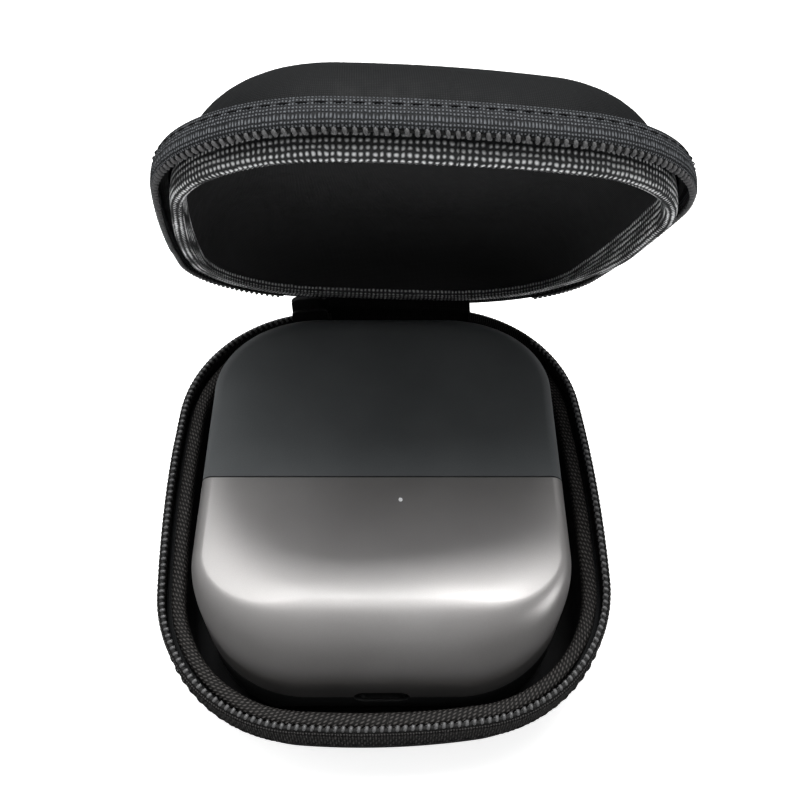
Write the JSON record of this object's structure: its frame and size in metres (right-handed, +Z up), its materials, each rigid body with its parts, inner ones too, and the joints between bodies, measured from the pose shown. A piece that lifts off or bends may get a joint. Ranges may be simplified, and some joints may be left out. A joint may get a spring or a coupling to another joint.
{
  "type": "electric shaver hard case",
  "caption": "Zip-up moulded hard case, open on its fabric hinge, with a foil shaver and travel cap lying in the base half.",
  "frame": {"origin": "centre of the flat underside of the base half", "axes": "+Z up, +Y towards the fabric hinge, +X to the right of someone facing the opening edge"},
  "size_m": [0.0985, 0.1098, 0.1181],
  "materials": {
    "foam_cover": "matte",
    "lining": "matte",
    "zip_tape": "matte",
    "zip_coil": "satin",
    "binding": "matte",
    "zip_metal": "satin",
    "front_gloss": "glossy",
    "body_plastic": "matte",
    "inner_plastic": "matte",
    "button_plastic": "glossy",
    "frame_plastic": "glossy",
    "light_guide": "glossy",
    "seal_rubber": "matte",
    "steel": "brushed",
    "board": "matte",
    "switch_body": "matte",
    "cell": "satin",
    "core_iron": "matte",
    "winding": "satin"
  },
  "bodies": {
    "base": {"base_shell": "foam_cover", "base_lining": "lining", "base_zip_tape": "zip_tape", "base_zip_coil": "zip_coil", "base_binding": "binding", "hinge_strip": "zip_tape"},
    "lid": {"lid_shell": "foam_cover", "lid_lining": "lining", "lid_zip_tape": "zip_tape", "lid_zip_coil": "zip_coil", "lid_binding": "binding"},
    "slider": {"zip_slider": "zip_metal"},
    "pull": {"pull_tab": "zip_metal"},
    "shaver": {"front_cover": "front_gloss", "rear_cover": "body_plastic", "cover_screws": "steel", "socket_gasket": "seal_rubber", "charging_socket": "steel", "indicator_lens": "light_guide", "switch_board": "board", "power_switch": "switch_body", "chassis": "inner_plastic", "battery": "cell", "circuit_board": "board", "motor_core": "core_iron", "motor_coil": "winding", "neck_collar": "inner_plastic", "head_base": "inner_plastic"},
    "cap": {"travel_cap": "body_plastic"},
    "button": {"power_button": "button_plastic"},
    "head": {"foil_frame": "frame_plastic", "foils": "steel"},
    "mover_a": {"motor_mover_a": "core_iron"},
    "mover_b": {"motor_mover_b": "core_iron"},
    "blades_outer": {"blade_carrier_outer": "inner_plastic", "inner_blades_outer": "steel"},
    "blades_middle": {"blade_carrier_middle": "inner_plastic", "inner_blade_middle": "steel"},
    "release_left": {"release_button_left": "inner_plastic"},
    "release_right": {"release_button_right": "inner_plastic"}
  },
  "joints": [
    {"name": "lid_open", "type": "hinge", "parent": "base", "child": "lid", "pos_m": [0, 0.05072, 0.026], "axis": [-0.9932, 0.08, 0.085], "range_deg": [-61.85, 62], "deforming": ["hinge_strip"]},
    {"name": "zip_run", "type": "hinge", "parent": "base", "child": "slider", "pos_m": [-0.01385, 0.01927, 0.026], "axis": [0, 0, 1], "range_deg": [0, 72]},
    {"name": "pull_swing", "type": "hinge", "parent": "slider", "child": "pull", "pos_m": [-0.01657, 0.05377, 0.026], "axis": [0.9969, 0.0785, 0], "range_deg": [0, 80]},
    {"name": "shaver_lift", "type": "slide", "parent": "base", "child": "shaver", "axis": [0, 0, 1], "range_m": [0, 0.03]},
    {"name": "cap_pull", "type": "slide", "parent": "shaver", "child": "cap", "axis": [0.0304, 0.9995, 0], "range_m": [0, 0.001]},
    {"name": "power_press", "type": "slide", "parent": "shaver", "child": "button", "axis": [0, 0, 1], "range_m": [0, 0.0005], "stiffness_N_per_m": 1500, "springref_m": -0.0003},
    {"name": "foil_float", "type": "slide", "parent": "shaver", "child": "head", "axis": [-0.0304, -0.9995, 0], "range_m": [0, 0.001], "stiffness_N_per_m": 400, "springref_m": -0.0005},
    {"name": "drive", "type": "slide", "parent": "shaver", "child": "mover_a", "axis": [0.9995, -0.0304, 0], "range_m": [-0.0009, 0.0009], "stiffness_N_per_m": 300},
    {"name": "drive_opposed", "type": "slide", "parent": "shaver", "child": "mover_b", "axis": [0.9995, -0.0304, 0], "range_m": [-0.0009, 0.0009]},
    {"name": "blades_outer_run", "type": "slide", "parent": "head", "child": "blades_outer", "axis": [0.9995, -0.0304, 0], "range_m": [-0.0009, 0.0009]},
    {"name": "blades_middle_run", "type": "slide", "parent": "head", "child": "blades_middle", "axis": [0.9995, -0.0304, 0], "range_m": [-0.0009, 0.0009]},
    {"name": "release_left_press", "type": "slide", "parent": "shaver", "child": "release_left", "axis": [0.9995, -0.0304, 0], "range_m": [0, 0.0008], "stiffness_N_per_m": 600, "springref_m": -0.0003},
    {"name": "release_right_press", "type": "slide", "parent": "shaver", "child": "release_right", "axis": [-0.9995, 0.0304, 0], "range_m": [0, 0.0008], "stiffness_N_per_m": 600, "springref_m": -0.0003}
  ],
  "couplings": [
    {"joint": "drive_opposed", "follows": "drive", "ratio": -1},
    {"joint": "blades_outer_run", "follows": "drive", "ratio": 1},
    {"joint": "blades_middle_run", "follows": "drive", "ratio": -1}
  ]
}
